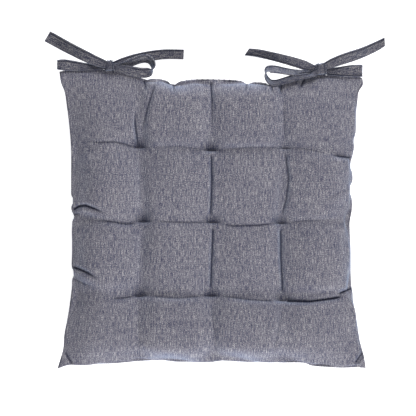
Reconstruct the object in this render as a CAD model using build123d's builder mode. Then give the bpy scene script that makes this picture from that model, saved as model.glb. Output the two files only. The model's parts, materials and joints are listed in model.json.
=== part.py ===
from build123d import *
import os

# A tufted square chair seat pad with two pairs of tie tapes, each pair tied in a bow.
# Millimetres. The origin is under the middle of the pad, on the surface that it lies on.
# +X is to the right, +Y points to the back edge, where the ties are, and +Z is up.

# The pad
PAD_SIDE = 403.0  # corner to corner along each edge
SIDE_PULL = 14.5  # how far the filling pulls the middle of each edge in
CORNER_RADIUS = 12.0
SEAM_HEIGHT = 20.0  # height of the edge seam above the surface
TOP_HEIGHT = 42.0
CLOTH = 0.8  # thickness of a cover panel
AIR = 0.3  # clearance between the cover and the filling
SEAM_ALLOWANCE = 9.0
SEAM_RIDGE = 0.5  # how far the seam stands proud of the rim
# From the seam inwards: the distance in from the edge, and the share of the full rise there
RIM_PROFILE = [(0.0, 0.0), (4.0, 0.42), (16.0, 0.8), (40.0, 1.0)]

# The tufts, a grid of three by three
TUFT_PITCH = 96.0
TUFT_FLOOR_RADIUS = 6.0
TUFT_MOUTH_RADIUS = 24.0
TOP_TUFT_DEPTH = 15.0
BOTTOM_TUFT_DEPTH = 10.0
TUFT_THREAD = 1.0
TUFT_STITCH_LENGTH = 8.0
THREAD_HOLE_RADIUS = 0.8

# The seams
SEAM_THREAD = 0.5
SEAM_LINE = 2.0  # from the edge of the pad to the seam threads
CLOSING_LENGTH = 165.0  # the turning opening, sewn shut from outside
CLOSING_LIP = 3.0  # how far its folded edges stand out
CLOSING_STITCH = (3.4, 0.6)  # length and width
CLOSING_PITCH = 6.6
CLOSING_STITCHES = 24

# The ties
TAPE_WIDTH = 14.0
TAPE_THICKNESS = 1.6
TIE_AXIS_Y = 200.5  # the line that a bow swings about, just behind the seam
TIE_GAP = 0.4  # between the sewn root and the swinging tapes
ROOT_START_Y = 186.0
BARTACK_Y = 188.5
BARTACK = (11.0, 1.5, 3.8)
KNOT_Y = 211.0
WRAP_DEPTH = 11.0
WRAP_HEIGHT = 9.0
CORE_DEPTH = 6.8
CORE_HEIGHT = 5.0
CORE_STAND_OUT = 1.5  # how far the core shows at each side of the wrap
KNOT_ROUNDING = 2.0

PINCH = 6.0  # width of a tape where it leaves the knot
PINCH_LENGTH = 25.0  # from the knot to where the tape is flat again

# Each bow: where its knot is and how wide, and the routes of its four ends. Tails fall to the
# surface, and a route in plan gives the loop that stands open on its edge.
LEFT_X = -137.0
LEFT_KNOT_WIDTH = 10.0
LEFT_FLAT_LOOP_END = (-206.0, 211.0)
LEFT_CORE_TAIL_END = (-39.0, 223.0)
LEFT_WRAP_TAIL_END = (-220.0, 246.0)
LEFT_OPEN_LOOP = [
    (-134, 212),
    (-120, 216),
    (-104, 219),
    (-87, 219.5),
    (-77, 208),
    (-86, 198),
    (-103, 198),
    (-119, 202),
    (-134, 209),
]
RIGHT_X = 144.0
RIGHT_KNOT_WIDTH = 14.0
RIGHT_FLAT_LOOP_END = (199.0, 211.0)
RIGHT_CORE_TAIL_END = (47.0, 227.0)
RIGHT_WRAP_TAIL_END = (228.0, 240.0)
RIGHT_OPEN_LOOP = [
    (139, 212),
    (123, 215),
    (103, 214.5),
    (82, 213),
    (71, 205),
    (80, 198),
    (99, 198),
    (121, 202),
    (139, 209),
]
OPEN_LOOP_BEND = 6.0
OPEN_LOOP_ROOT = (19.2, 24.0)  # the lowest and highest it is at the knot
# How each tail comes down: distances from where it starts, and heights of its middle
CORE_TAIL_FALL = [(0.0, 17.2), (7.0, 13.5), (18.0, 7.0), (34.0, 1.2)]
WRAP_TAIL_FALL = [(0.0, 24.4), (39.0, 24.8), (57.0, 13.0), (76.0, 1.3)]
TAPE_REST = 1.0  # height of the middle of a tape that lies on the surface
TAIL_BEND = 18.0
FLAT_LOOP_OPENING = 4.8  # between the middles of the two layers of the flat loop


def outline(inset, height):
    """The pad's outline at a height, a distance in from the seam: four arcs, rounded corners."""
    half = PAD_SIDE / 2 - inset
    waist = half - SIDE_PULL
    with BuildSketch(Plane.XY.offset(height)) as sketch:
        with BuildLine():
            ThreePointArc((-half, -half), (0, -waist), (half, -half))
            ThreePointArc((half, -half), (waist, 0), (half, half))
            ThreePointArc((half, half), (0, waist), (-half, half))
            ThreePointArc((-half, half), (-waist, 0), (-half, -half))
        make_face()
        fillet(sketch.vertices(), CORNER_RADIUS + max(inset, 0) / 2)
    return sketch.sketch


def half_pad(rise, tuft_depth, skin):
    """One half of the stuffed pad, above or below the seam, with its dimples, less a skin."""
    sign = 1 if rise > 0 else -1
    surface = SEAM_HEIGHT + rise
    floor = surface - sign * (tuft_depth + skin)
    radii = (TUFT_FLOOR_RADIUS + skin, TUFT_MOUTH_RADIUS + skin)[::sign]
    with BuildPart() as half:
        loft(
            sections=[
                outline(inset + skin, SEAM_HEIGHT + share * (rise - sign * skin))
                for inset, share in RIM_PROFILE
            ]
        )
        with Locations((0, 0, (surface + floor) / 2)):
            with GridLocations(TUFT_PITCH, TUFT_PITCH, 3, 3):
                Cone(*radii, height=tuft_depth + skin, mode=Mode.SUBTRACT)
    return half.part


def tuft_thread_holes():
    """The pair of thread holes at every tuft, right through the pad."""
    with BuildPart() as holes:
        with GridLocations(TUFT_PITCH, TUFT_PITCH, 3, 3):
            with GridLocations(TUFT_STITCH_LENGTH - TUFT_THREAD, 0, 2, 1):
                Cylinder(
                    THREAD_HOLE_RADIUS,
                    TOP_HEIGHT,
                    align=(Align.CENTER, Align.CENTER, Align.MIN),
                )
    return holes.part


def tie_slots():
    """The two gaps that the roots of the ties leave in the edge seam."""
    with BuildPart() as slots:
        for x in (LEFT_X, RIGHT_X):
            with Locations((x, (ROOT_START_Y + TIE_AXIS_Y) / 2, SEAM_HEIGHT)):
                Box(
                    TAPE_WIDTH + 2 * AIR,
                    TIE_AXIS_Y - ROOT_START_Y + 2 * AIR,
                    BARTACK[2] + 2 * AIR,
                )
    return slots.part


def seam_flange(sign):
    """A panel's seam allowance, with the lip at the turning opening."""
    with BuildPart() as flange:
        with BuildSketch(Plane.XY.offset(SEAM_HEIGHT)):
            add(outline(-CLOSING_LIP, SEAM_HEIGHT))
            with Locations((0, PAD_SIDE / 2)):
                Rectangle(CLOSING_LENGTH, PAD_SIDE / 4, mode=Mode.INTERSECT)
            add(outline(-SEAM_RIDGE, SEAM_HEIGHT))
            add(outline(SEAM_ALLOWANCE, SEAM_HEIGHT), mode=Mode.SUBTRACT)
        extrude(amount=sign * CLOTH)
    return flange.part


def back_edge(x):
    """How far back the seam is at a distance from the middle of the back edge."""
    half = PAD_SIDE / 2
    bow_radius = (half**2 + SIDE_PULL**2) / (2 * SIDE_PULL)
    return half - SIDE_PULL + bow_radius - (bow_radius**2 - x**2) ** 0.5


def upright_plane(x, end):
    """An upright plane through a knot, with its X axis level and aimed at a point in plan."""
    aim = Vector(end[0] - x, end[1] - KNOT_Y, 0)
    return Plane(origin=(x, KNOT_Y, 0), x_dir=aim, z_dir=aim.cross(Vector(0, 0, 1)))


def pinched_half(length):
    """Half of a pinched tape's outline, from the knot outwards: distances and half widths."""
    return [(0, PINCH / 2), (PINCH_LENGTH, TAPE_WIDTH / 2), (length, TAPE_WIDTH / 2)]


def flat_tape(plane, points, bend):
    """Tape lying on its face along a line in an upright plane, pinched at the knot."""
    side = pinched_half(points[-1][0] + PINCH_LENGTH + PAD_SIDE)
    with BuildPart() as tape:
        with BuildSketch(plane):
            with BuildLine():
                FilletPolyline(*points, radius=bend)
            trace(line_width=TAPE_THICKNESS)
        extrude(amount=TAPE_WIDTH, both=True)
        with BuildSketch(Plane(origin=plane.origin, x_dir=plane.x_dir, z_dir=(0, 0, 1))):
            with BuildLine():
                Polyline(*side, *[(along, -half) for along, half in side[::-1]], close=True)
            make_face()
        extrude(amount=TOP_HEIGHT, mode=Mode.INTERSECT)
    return tape.part


def tail(x, start, end, fall):
    """A tail that runs from the knot to its cut end and comes down to the surface."""
    plane = upright_plane(x, end)
    reach = plane.to_local_coords(Vector(*end, 0)).X
    points = [(start + along, height) for along, height in fall] + [(reach, TAPE_REST)]
    return flat_tape(plane, points, TAIL_BEND)


def flat_loop(x, knot_width, end):
    """A loop pressed flat, its two layers one above the other."""
    plane = upright_plane(x, end)
    near = knot_width / 2 + CORE_STAND_OUT - AIR
    far = plane.to_local_coords(Vector(*end, 0)).X - TAPE_THICKNESS / 2
    low = SEAM_HEIGHT - FLAT_LOOP_OPENING / 2
    high = SEAM_HEIGHT + FLAT_LOOP_OPENING / 2
    points = [(near, low), (far, low), (far, high), (near, high)]
    return flat_tape(plane, points, 0.45 * FLAT_LOOP_OPENING)


def open_loop(x, route):
    """A loop that stands on the edge of its tape, pinched at the knot."""
    side = 1 if route[1][0] > x else -1
    low, high = OPEN_LOOP_ROOT
    flat_low, flat_high = SEAM_HEIGHT - TAPE_WIDTH / 2, SEAM_HEIGHT + TAPE_WIDTH / 2
    spread, far = x + side * PINCH_LENGTH, x + side * PAD_SIDE / 2
    with BuildPart() as loop:
        with BuildSketch(Plane.XY.offset(flat_low)):
            with BuildLine():
                FilletPolyline(*route, radius=OPEN_LOOP_BEND)
            trace(line_width=TAPE_THICKNESS)
        extrude(amount=TAPE_WIDTH)
        with BuildSketch(Plane.XZ.offset(-KNOT_Y)):
            with BuildLine():
                Polyline(
                    (x, low),
                    (spread, flat_low),
                    (far, flat_low),
                    (far, flat_high),
                    (spread, flat_high),
                    (x, high),
                    close=True,
                )
            make_face()
        extrude(amount=PAD_SIDE / 4, both=True, mode=Mode.INTERSECT)
    return loop.part


def neck(x, side):
    """The short stretch of one tape, above or below the other, from its sewn root to the knot."""
    start = TIE_AXIS_Y + TAPE_THICKNESS + TIE_GAP
    with BuildPart() as strip:
        with Locations((x, start, SEAM_HEIGHT + side * TAPE_THICKNESS / 2)):
            Box(
                TAPE_WIDTH,
                KNOT_Y - CORE_DEPTH / 2 - start,
                TAPE_THICKNESS,
                align=(Align.CENTER, Align.MIN, Align.CENTER),
            )
    return strip.part


def core_tape(x, knot_width, loop_end, tail_end):
    """The tape that goes through the knot: its flat loop on one side, its tail on the other."""
    with BuildPart() as tape:
        with Locations((x, KNOT_Y, SEAM_HEIGHT)):
            Box(knot_width + 2 * CORE_STAND_OUT, CORE_DEPTH, CORE_HEIGHT)
        add(flat_loop(x, knot_width, loop_end))
        add(tail(x, knot_width / 2 + CORE_STAND_OUT - AIR, tail_end, CORE_TAIL_FALL))
        add(neck(x, -1))
    return tape.part


def wrap_tape(x, knot_width, loop_route, tail_end):
    """The tape that wraps round the knot, with the open loop and the longer tail."""
    with BuildPart() as tape:
        with Locations((x, KNOT_Y, SEAM_HEIGHT)):
            Box(knot_width, WRAP_DEPTH, WRAP_HEIGHT)
            fillet(tape.edges().filter_by(Axis.X), KNOT_ROUNDING)
        add(open_loop(x, loop_route))
        add(tail(x, 0, tail_end, WRAP_TAIL_FALL))
        with Locations((x, KNOT_Y, SEAM_HEIGHT)):
            Box(
                knot_width + 2 * CORE_STAND_OUT,
                CORE_DEPTH,
                CORE_HEIGHT,
                mode=Mode.SUBTRACT,
            )
        add(neck(x, 1))
        add(neck(x, -1), mode=Mode.SUBTRACT)
    return tape.part


TOP_RISE = TOP_HEIGHT - SEAM_HEIGHT
BOTTOM_RISE = -SEAM_HEIGHT
os.makedirs("parts", exist_ok=True)

with BuildPart() as top_panel:
    add(half_pad(TOP_RISE, TOP_TUFT_DEPTH, 0))
    add(half_pad(TOP_RISE, TOP_TUFT_DEPTH, CLOTH), mode=Mode.SUBTRACT)
    add(seam_flange(1))
    add(tuft_thread_holes(), mode=Mode.SUBTRACT)
    add(tie_slots(), mode=Mode.SUBTRACT)
top_panel.part.label = "top_panel"
export_step(top_panel.part, "parts/top_panel.step")

with BuildPart() as bottom_panel:
    add(half_pad(BOTTOM_RISE, BOTTOM_TUFT_DEPTH, 0))
    add(half_pad(BOTTOM_RISE, BOTTOM_TUFT_DEPTH, CLOTH), mode=Mode.SUBTRACT)
    add(seam_flange(-1))
    add(tuft_thread_holes(), mode=Mode.SUBTRACT)
    add(tie_slots(), mode=Mode.SUBTRACT)
bottom_panel.part.label = "bottom_panel"
export_step(bottom_panel.part, "parts/bottom_panel.step")

with BuildPart() as fibre_filling:
    add(half_pad(TOP_RISE, TOP_TUFT_DEPTH, CLOTH + AIR))
    add(half_pad(BOTTOM_RISE, BOTTOM_TUFT_DEPTH, CLOTH + AIR))
    # The filling stops short of the seam allowances and the threads on them.
    groove = CLOTH + SEAM_THREAD + AIR
    with BuildSketch(Plane.XY.offset(SEAM_HEIGHT - groove)):
        Rectangle(PAD_SIDE, PAD_SIDE)
        add(outline(SEAM_ALLOWANCE + AIR, SEAM_HEIGHT), mode=Mode.SUBTRACT)
    extrude(amount=2 * groove, mode=Mode.SUBTRACT)
    add(tie_slots(), mode=Mode.SUBTRACT)
    add(tuft_thread_holes(), mode=Mode.SUBTRACT)
fibre_filling.part.label = "fibre_filling"
export_step(fibre_filling.part, "parts/fibre_filling.step")

for thread_name, direction in (("needle", 1), ("bobbin", -1)):
    with BuildPart() as seam_thread:
        with BuildSketch(Plane.XY.offset(SEAM_HEIGHT + direction * CLOTH)):
            add(outline(SEAM_LINE, SEAM_HEIGHT))
            add(outline(SEAM_LINE + SEAM_THREAD, SEAM_HEIGHT), mode=Mode.SUBTRACT)
        extrude(amount=direction * SEAM_THREAD)
    seam_thread.part.label = f"edge_seam_{thread_name}_thread"
    export_step(seam_thread.part, f"parts/{seam_thread.part.label}.step")

with BuildPart() as closing_stitches:
    for index in range(CLOSING_STITCHES):
        x = (index - (CLOSING_STITCHES - 1) / 2) * CLOSING_PITCH
        with Locations((x, back_edge(x) + CLOSING_LIP / 2, SEAM_HEIGHT)):
            Box(*CLOSING_STITCH, 2 * (CLOTH + SEAM_THREAD))
closing_stitches.part.label = "closing_stitches"
export_step(closing_stitches.part, "parts/closing_stitches.step")

tuft_top = TOP_HEIGHT - TOP_TUFT_DEPTH + TUFT_THREAD
tuft_bottom = BOTTOM_TUFT_DEPTH - TUFT_THREAD
for row, row_name in enumerate(("front", "middle", "back"), start=-1):
    for column, column_name in enumerate(("left", "centre", "right"), start=-1):
        upright = Plane.XZ.offset(-row * TUFT_PITCH - TUFT_THREAD / 2)
        with BuildPart() as tuft_stitch:
            with BuildSketch(upright):
                with Locations((column * TUFT_PITCH, (tuft_top + tuft_bottom) / 2)):
                    Rectangle(TUFT_STITCH_LENGTH, tuft_top - tuft_bottom)
                    Rectangle(
                        TUFT_STITCH_LENGTH - 2 * TUFT_THREAD,
                        tuft_top - tuft_bottom - 2 * TUFT_THREAD,
                        mode=Mode.SUBTRACT,
                    )
            extrude(amount=TUFT_THREAD)
        tuft_stitch.part.label = f"tuft_stitch_{row_name}_{column_name}"
        export_step(tuft_stitch.part, f"parts/{tuft_stitch.part.label}.step")

for side, tie_x in (("left", LEFT_X), ("right", RIGHT_X)):
    with BuildPart() as tie_root:
        with BuildSketch(Plane.YZ.offset(tie_x - TAPE_WIDTH / 2)):
            with Locations(((ROOT_START_Y + TIE_AXIS_Y) / 2, SEAM_HEIGHT)):
                Rectangle(TIE_AXIS_Y - ROOT_START_Y, 2 * TAPE_THICKNESS)
            with Locations((TIE_AXIS_Y, SEAM_HEIGHT)):
                Circle(TAPE_THICKNESS)
        extrude(amount=TAPE_WIDTH)
    tie_root.part.label = f"{side}_tie_root"
    export_step(tie_root.part, f"parts/{side}_tie_root.step")

    with BuildPart() as tie_bartack:
        with Locations((tie_x, BARTACK_Y, SEAM_HEIGHT)):
            Box(*BARTACK)
    tie_bartack.part.label = f"{side}_tie_bartack"
    export_step(tie_bartack.part, f"parts/{side}_tie_bartack.step")

left_core = core_tape(LEFT_X, LEFT_KNOT_WIDTH, LEFT_FLAT_LOOP_END, LEFT_CORE_TAIL_END)
left_wrap = wrap_tape(LEFT_X, LEFT_KNOT_WIDTH, LEFT_OPEN_LOOP, LEFT_WRAP_TAIL_END)
right_core = core_tape(RIGHT_X, RIGHT_KNOT_WIDTH, RIGHT_FLAT_LOOP_END, RIGHT_CORE_TAIL_END)
right_wrap = wrap_tape(RIGHT_X, RIGHT_KNOT_WIDTH, RIGHT_OPEN_LOOP, RIGHT_WRAP_TAIL_END)
for tape_name, tape_part in (
    ("left_bow_core_tape", left_core),
    ("left_bow_wrap_tape", left_wrap),
    ("right_bow_core_tape", right_core),
    ("right_bow_wrap_tape", right_wrap),
):
    with BuildPart() as bow_tape:
        add(tape_part)
    bow_tape.part.label = tape_name
    export_step(bow_tape.part, f"parts/{tape_name}.step")
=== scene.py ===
import json
import math

import bpy
import numpy as np
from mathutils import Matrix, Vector


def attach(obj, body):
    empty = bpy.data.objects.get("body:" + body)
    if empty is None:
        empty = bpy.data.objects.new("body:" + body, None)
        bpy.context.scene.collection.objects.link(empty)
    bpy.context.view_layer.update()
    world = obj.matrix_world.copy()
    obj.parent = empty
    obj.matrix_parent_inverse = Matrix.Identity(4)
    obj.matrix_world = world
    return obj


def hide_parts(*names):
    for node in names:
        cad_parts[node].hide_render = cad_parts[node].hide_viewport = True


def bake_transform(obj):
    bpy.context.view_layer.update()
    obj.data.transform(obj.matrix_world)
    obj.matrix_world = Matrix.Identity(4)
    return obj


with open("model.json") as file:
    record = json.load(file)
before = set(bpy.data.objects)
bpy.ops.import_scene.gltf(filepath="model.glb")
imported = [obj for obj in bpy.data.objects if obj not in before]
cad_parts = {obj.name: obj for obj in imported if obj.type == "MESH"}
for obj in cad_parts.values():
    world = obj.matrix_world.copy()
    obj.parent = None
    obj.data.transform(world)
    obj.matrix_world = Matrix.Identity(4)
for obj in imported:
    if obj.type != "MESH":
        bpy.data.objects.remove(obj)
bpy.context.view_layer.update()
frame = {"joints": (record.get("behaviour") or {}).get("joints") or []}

# A tufted square seat pad with a bow of tie tapes at each back corner, on a pale floor.
# Lengths in this script are millimetres unless a name says otherwise; MM turns them into metres.
MM = 0.001
SEAM_HEIGHT = frame["joints"][0]["pos_m"][2] / MM
PAD = "pad"


# -------- small helpers
def link(name, data):
    """A new object in the scene."""
    thing = bpy.data.objects.new(name, data)
    bpy.context.scene.collection.objects.link(thing)
    return thing


def mesh_object(name, points_mm, faces, smooth=True):
    """A mesh object from points in millimetres."""
    mesh = bpy.data.meshes.new(name)
    mesh.from_pydata((np.asarray(points_mm) * MM).tolist(), [], [list(map(int, f)) for f in faces])
    mesh.update()
    if smooth:
        mesh.shade_smooth()
    return link(name, mesh)


def grid_faces(rows, columns, start=0, flip=False):
    """Quads of a grid of points held row by row."""
    index = start + np.arange(rows * columns).reshape(rows, columns)
    quads = np.stack([index[:-1, :-1], index[:-1, 1:], index[1:, 1:], index[1:, :-1]], axis=-1)
    quads = quads.reshape(-1, 4)
    return quads[:, ::-1] if flip else quads


def set_uv(thing, uv_points):
    """Cloth coordinates, in metres along the cloth, from one pair per mesh point."""
    mesh = thing.data
    layer = mesh.uv_layers.new(name="cloth")
    corner = np.empty(len(mesh.loops), dtype=np.int32)
    mesh.loops.foreach_get("vertex_index", corner)
    layer.data.foreach_set("uv", (np.asarray(uv_points)[corner] * MM).astype(np.float32).ravel())


def set_attribute(thing, name, values):
    """One number per mesh point, for the materials to read."""
    attribute = thing.data.attributes.new(name, "FLOAT", "POINT")
    attribute.data.foreach_set("value", np.asarray(values, dtype=np.float32).ravel())


def smooth_step(x, low, high):
    """0 up to low, 1 from high on, and a smooth rise between."""
    t = np.clip((x - low) / (high - low), 0, 1)
    return t * t * (3 - 2 * t)


def bell(x, width):
    """1 at 0, and 1/e at the width on either side."""
    return np.exp(-((x / width) ** 2))


def unit(vectors):
    """The same directions with length 1."""
    return vectors / np.linalg.norm(vectors, axis=-1, keepdims=True)


def run_along(line):
    """How far along a line each of its points is."""
    return np.concatenate([[0], np.cumsum(np.linalg.norm(np.diff(line, axis=0), axis=1))])


def rows_at(places, run, table):
    """A table's rows, known at the values in run, as they are at other places."""
    return np.stack([np.interp(places, run, column) for column in np.transpose(table)], axis=-1)


def curve_between(before, start, end, after, t):
    """Points of a smooth curve through four others, at shares t of the way from start to end."""
    return 0.5 * (
        2 * start
        + (end - before) * t
        + (2 * before - 5 * start + 4 * end - after) * t**2
        + (3 * start - before - 3 * end + after) * t**3
    )


def rim_of(grid):
    """What lies along the edge of a grid, once round."""
    return np.concatenate([grid[0], grid[1:, -1], grid[-1, -2::-1], grid[-2:0:-1, 0]])


# -------- materials
# The cloth's noises: size of a grain across and along the cloth, detail, share in the whole
YARN_NOISES = (
    (0.85, 9.5, 2.0, 0.28),  # slubs of the warp
    (3.4, 0.8, 2.0, 0.17),  # slubs of the weft
    (0.95, 1.3, 3.0, 0.36),  # specks
    (0.8, 60.0, 1.0, 0.10),  # lines along the warp
    (50.0, 0.8, 1.0, 0.06),  # lines along the weft
    (30.0, 46.0, 2.0, 0.03),  # clouds
)
YARN_COLOURS = ((0.028, 0.032, 0.08), (0.165, 0.161, 0.205), (0.53, 0.51, 0.51))  # dark to pale
YARN_MIDDLE, YARN_STEP = 0.505, 0.133  # the noise at the middle colour, and how far to the others
# Painted sheen: the pale blue that the cloth's colour turns towards where it is seen edge on, and how
# sharply it sets in
PAINTED_SHEEN_COLOUR, PAINTED_SHEEN_POWER = (0.33, 0.44, 0.66, 1), 1.9
# Painted shade: the dark navy that creases, tuft dimples, tape grooves and gathered tape folds turn
# towards, and the most they may
PAINTED_SHADE_COLOUR, DARKEST_PAINTED_SHADE = (0.01, 0.013, 0.036, 1), 0.85  # the most a crease or tape may darken
YARN_PITCH, TWIST_PITCH = 0.75, 0.8
WAVE_TURN = 20  # radians that a wave texture turns through in one unit, at scale 1


def shader(name):
    """A new material with its node tree and its main shader."""
    material = bpy.data.materials.new(name)
    material.use_nodes = True
    return material, material.node_tree, material.node_tree.nodes["Principled BSDF"]


def set_sockets(shader_node, values):
    """Uniform values on a shader's own sockets."""
    for key, value in values.items():
        shader_node.inputs[key].default_value = value


def node(tree, kind, settings=None, **inputs):
    """A node with its settings, and its inputs set to values or linked to other nodes' outputs."""
    new = tree.nodes.new(kind)
    for key, value in (settings or {}).items():
        setattr(new, key, value)
    for key, value in inputs.items():
        socket = new.inputs[int(key[1:])] if key[0] == "_" else new.inputs[key]
        if isinstance(value, bpy.types.NodeSocket):
            tree.links.new(value, socket)
        else:
            socket.default_value = value
    return new.outputs[0] if len(new.outputs) == 1 else new


def math_node(tree, operation, first, second):
    """An operation on two values."""
    return node(tree, "ShaderNodeMath", {"operation": operation}, _0=first, _1=second)


def stretched_noise(tree, place, across, along, detail):
    """Noise whose grains are this many millimetres across and along the cloth."""
    scale = (1 / (across * MM), 1 / (along * MM), 1.0)
    vector = node(tree, "ShaderNodeVectorMath", {"operation": "MULTIPLY"}, _0=place, _1=scale)
    flat = {"noise_dimensions": "2D"}
    return node(
        tree, "ShaderNodeTexNoise", flat, Vector=vector.outputs[0], Scale=1.0, Detail=detail
    ).outputs[0]


def waves(tree, place, direction, pitch, distortion):
    """Bands this many millimetres apart."""
    settings = {"wave_type": "BANDS", "bands_direction": direction}
    scale = 1 / (pitch * MM) / WAVE_TURN * 2 * math.pi
    wave = node(tree, "ShaderNodeTexWave", settings, Vector=place, Scale=scale, Distortion=distortion)
    return wave.outputs["Fac"]


def add_bump(tree, surface, strength, depth, height):
    """Relief up to this many millimetres high on a shader."""
    bump = node(tree, "ShaderNodeBump", Strength=strength, Distance=depth * MM, Height=height)
    tree.links.new(bump, surface.inputs["Normal"])


def ramp(tree, value, stops):
    """A colour ramp with (position, colour) stops."""
    new = tree.nodes.new("ShaderNodeValToRGB")
    elements = new.color_ramp.elements
    while len(elements) < len(stops):
        elements.new(0.5)
    for element, (position, colour) in zip(elements, stops):
        element.position = position
        element.color = (*colour, 1)
    tree.links.new(value, new.inputs[0])
    return new.outputs[0]


def weighted_sum(tree, parts):
    """The sum of values, each times its share."""
    total, settings = 0.0, {"operation": "MULTIPLY_ADD"}
    for value, share in parts:
        total = node(tree, "ShaderNodeMath", settings, _0=value, _1=share, _2=total)
    return total


def mixed_colour(tree, factor, first, second):
    """The first colour turning into the second as the factor goes from 0 to 1."""
    # Sockets 6 and 7 and output 2 are the node's colours.
    settings = {"data_type": "RGBA"}
    return node(tree, "ShaderNodeMix", settings, _0=factor, _6=first, _7=second).outputs[2]


def chambray(name, brightness=1.0, rim=0.68, contrast=1.0):
    """Heathered chambray: navy and warm pale yarns, slubs along the warp, a painted bluish sheen of
    strength rim on what is seen edge on, and painted shade where the mesh says so."""
    material, tree, surface = shader(name)
    place = node(tree, "ShaderNodeUVMap", {"uv_map": "cloth"})
    yarn_mix = weighted_sum(
        tree, [(stretched_noise(tree, place, *sizes), share) for *sizes, share in YARN_NOISES]
    )
    stops = [
        (YARN_MIDDLE + step * YARN_STEP / contrast, tuple(brightness * c for c in colour))
        for step, colour in zip((-1, 0, 1), YARN_COLOURS)
    ]
    colour = ramp(tree, yarn_mix, stops)
    # Painted sheen: the colour turns pale blue where the cloth is seen edge on.
    facing = node(tree, "ShaderNodeLayerWeight", Blend=0.5).outputs["Facing"]
    painted_sheen = math_node(tree, "MULTIPLY", math_node(tree, "POWER", facing, PAINTED_SHEEN_POWER), rim)
    colour = mixed_colour(tree, painted_sheen, colour, PAINTED_SHEEN_COLOUR)
    # Painted shade, from the mesh's attribute: creases, dimples, grooves and folds turn dark navy.
    painted_shades = node(tree, "ShaderNodeAttribute", {"attribute_name": "painted_shade"}).outputs["Fac"]
    colour = mixed_colour(tree, painted_shades, colour, PAINTED_SHADE_COLOUR)
    tree.links.new(colour, surface.inputs["Base Color"])
    set_sockets(surface, {
        "Roughness": 0.9, "Specular IOR Level": 0.15,
        "Sheen Weight": 0.25, "Sheen Roughness": 0.4, "Sheen Tint": (0.72, 0.82, 1.0, 1),
    })
    yarns = [waves(tree, place, direction, YARN_PITCH, 0.6) for direction in ("X", "Y")]
    weave = math_node(tree, "MAXIMUM", *yarns)
    add_bump(tree, surface, 0.6, 0.3, weighted_sum(tree, ((yarn_mix, 2.5), (weave, 1.0))))
    return material


def thread(name, colour):
    """Twisted sewing thread: fine slanting ridges round it."""
    material, tree, surface = shader(name)
    place = node(tree, "ShaderNodeTexCoord").outputs["Object"]
    twist = waves(tree, place, "DIAGONAL", TWIST_PITCH, 1.0)
    pale = tuple(1.8 * c for c in colour)
    tree.links.new(ramp(tree, twist, [(0.2, colour), (0.8, pale)]), surface.inputs["Base Color"])
    set_sockets(surface, {"Roughness": 0.6, "Sheen Weight": 0.3})
    add_bump(tree, surface, 0.6, 0.2, twist)
    return material


def wadding(name):
    """White polyester fibre: soft, fluffy and matt."""
    material, tree, surface = shader(name)
    place = node(tree, "ShaderNodeTexCoord").outputs["Object"]
    fluff = node(
        tree, "ShaderNodeTexNoise", Vector=place, Scale=140.0, Detail=6.0, Distortion=1.5
    ).outputs[0]
    colour = ramp(tree, fluff, [(0.3, (0.68, 0.68, 0.66)), (0.7, (0.88, 0.88, 0.86))])
    tree.links.new(colour, surface.inputs["Base Color"])
    set_sockets(surface, {"Roughness": 1.0, "Sheen Weight": 0.4})
    add_bump(tree, surface, 0.8, 1.5, fluff)
    return material


COVER_CLOTH = chambray("cover_chambray", contrast=1.08)
# The underside's and the tapes' cloth are the cover's chambray made darker, as painted shade.
UNDERSIDE_CLOTH = chambray("underside_chambray", brightness=0.8, rim=0.2)
TAPE_CLOTH = chambray("tape_chambray", brightness=0.67, rim=0.4, contrast=1.5)
SEWING_THREAD = thread("sewing_thread", (0.035, 0.036, 0.055))
TUFT_THREAD_FINISH = thread("tuft_thread", (0.028, 0.028, 0.045))
WADDING = wadding("polyester_wadding")


# -------- camera, floor and light
VIEW_CENTRE, VIEW_WIDTH = (-6.0, 16.0), 554.7
LENS, SENSOR = 200, 36
FLOOR_HALF = 4000
FLOOR_GLOW, WORLD_GLOW = 0.82, 0.13
# Name, place and width in metres, and watts
LAMPS = (
    ("front_softbox", (0.4, -2.0, 0.75), 1.4, 66.0),
    ("back_softbox", (0.4, 2.0, 0.8), 1.4, 53.0),
    ("top_softbox", (0.1, 0.0, 1.3), 0.6, 3.6),
)


def set_the_stage():
    """The camera straight above, a pale lit floor and soft studio light."""
    scene = bpy.context.scene
    scene.view_settings.view_transform = "Standard"
    camera = bpy.data.cameras.new("camera")
    camera.lens, camera.sensor_width = LENS, SENSOR
    camera.clip_end = 20
    eye = link("camera", camera)
    distance = VIEW_WIDTH * LENS / SENSOR
    eye.location = (VIEW_CENTRE[0] * MM, VIEW_CENTRE[1] * MM, (SEAM_HEIGHT + distance) * MM)
    scene.camera = eye

    floor = mesh_object(
        "floor",
        [(x * FLOOR_HALF, y * FLOOR_HALF, 0) for x, y in ((-1, -1), (1, -1), (1, 1), (-1, 1))],
        [(0, 1, 2, 3)],
        smooth=False,
    )
    material, _, surface = shader("pale_floor")
    set_sockets(surface, {
        "Base Color": (0.8, 0.8, 0.8, 1), "Roughness": 1.0,
        "Emission Color": (1, 1, 1, 1), "Emission Strength": FLOOR_GLOW,
    })
    floor.data.materials.append(material)

    world = bpy.data.worlds.new("studio")
    scene.world = world
    world.use_nodes = True
    background = world.node_tree.nodes["Background"]
    set_sockets(background, {"Color": (0.96, 0.98, 1.0, 1), "Strength": WORLD_GLOW})

    for name, place, size, power in LAMPS:
        lamp = bpy.data.lights.new(name, "AREA")
        lamp.size, lamp.energy = size, power
        box = link(name, lamp)
        box.location = place
        box.rotation_euler = (Vector() - Vector(place)).to_track_quat("-Z", "Y").to_euler()


set_the_stage()


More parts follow.
